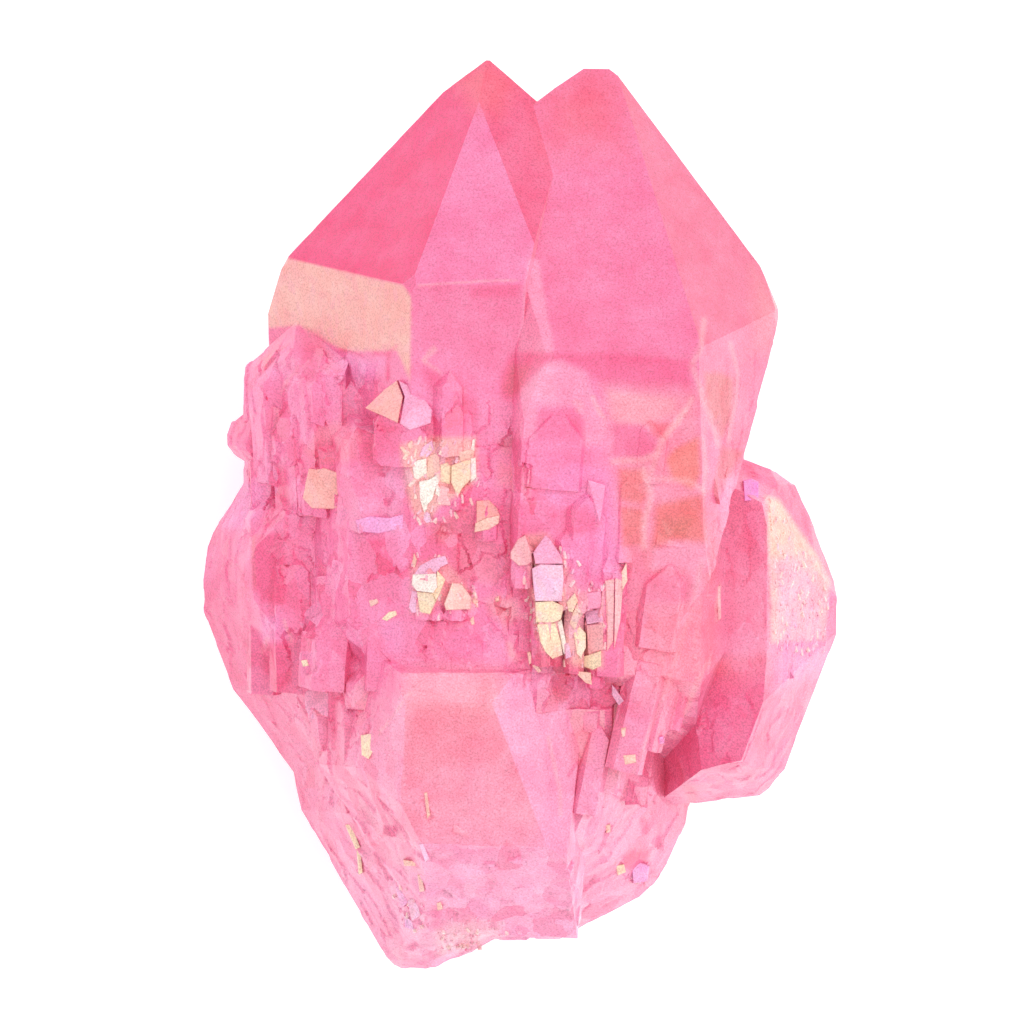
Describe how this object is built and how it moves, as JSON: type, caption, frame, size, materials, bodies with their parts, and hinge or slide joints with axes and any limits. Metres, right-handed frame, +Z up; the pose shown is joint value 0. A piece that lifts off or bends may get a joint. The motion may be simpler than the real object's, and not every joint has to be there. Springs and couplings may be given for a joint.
{
  "type": "aura quartz cluster",
  "caption": "Rose aura quartz cluster with twin main points, a side crystal and stepped small crystals on the front, lying on its flat broken back as a display or specimen piece.",
  "frame": {"origin": "middle of the bounding box in X and Y, on the flat back", "axes": "+Z up out of the flat back, +Y along the crystals towards the main points, +X to the right of the picture"},
  "size_m": [0.0352, 0.0504, 0.0231],
  "materials": {
    "coated_quartz": "clear rose-pink quartz under a thin iridescent vapour coat, with fine grain"
  },
  "bodies": {
    "root": {"quartz_cluster": "coated_quartz"}
  },
  "joints": []
}
